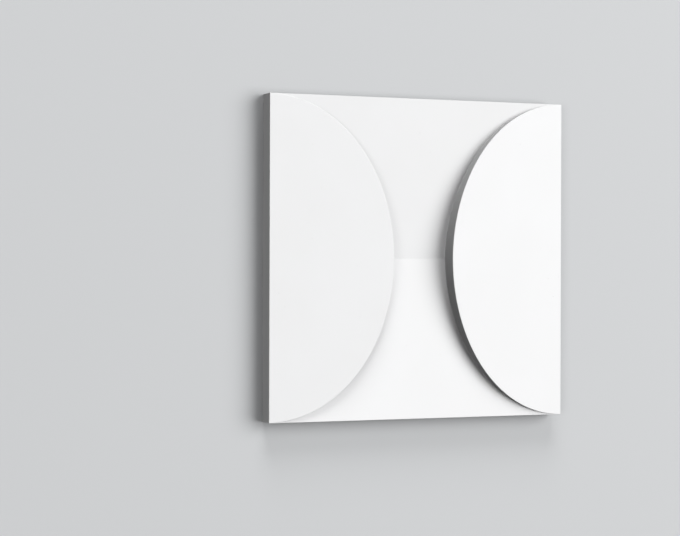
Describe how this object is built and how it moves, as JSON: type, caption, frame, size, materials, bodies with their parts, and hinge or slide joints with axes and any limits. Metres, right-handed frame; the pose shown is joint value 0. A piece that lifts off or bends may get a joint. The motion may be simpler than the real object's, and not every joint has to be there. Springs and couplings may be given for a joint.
{
  "type": "3d wall panel tile",
  "caption": "Square moulded relief wall tile with sloped half discs on its side edges and a folded hourglass ground between them.",
  "frame": {"origin": "centre of the flat back face; the tile lies on its back", "axes": "+Z out of the wall through the decorated face, +Y up the wall as hung, +X to the right as seen from the front"},
  "size_m": [0.333, 0.333, 0.029],
  "materials": {
    "primed_foam": "matt white primer on moulded rigid foam"
  },
  "bodies": {
    "root": {"relief_tile": "primed_foam"}
  },
  "joints": []
}
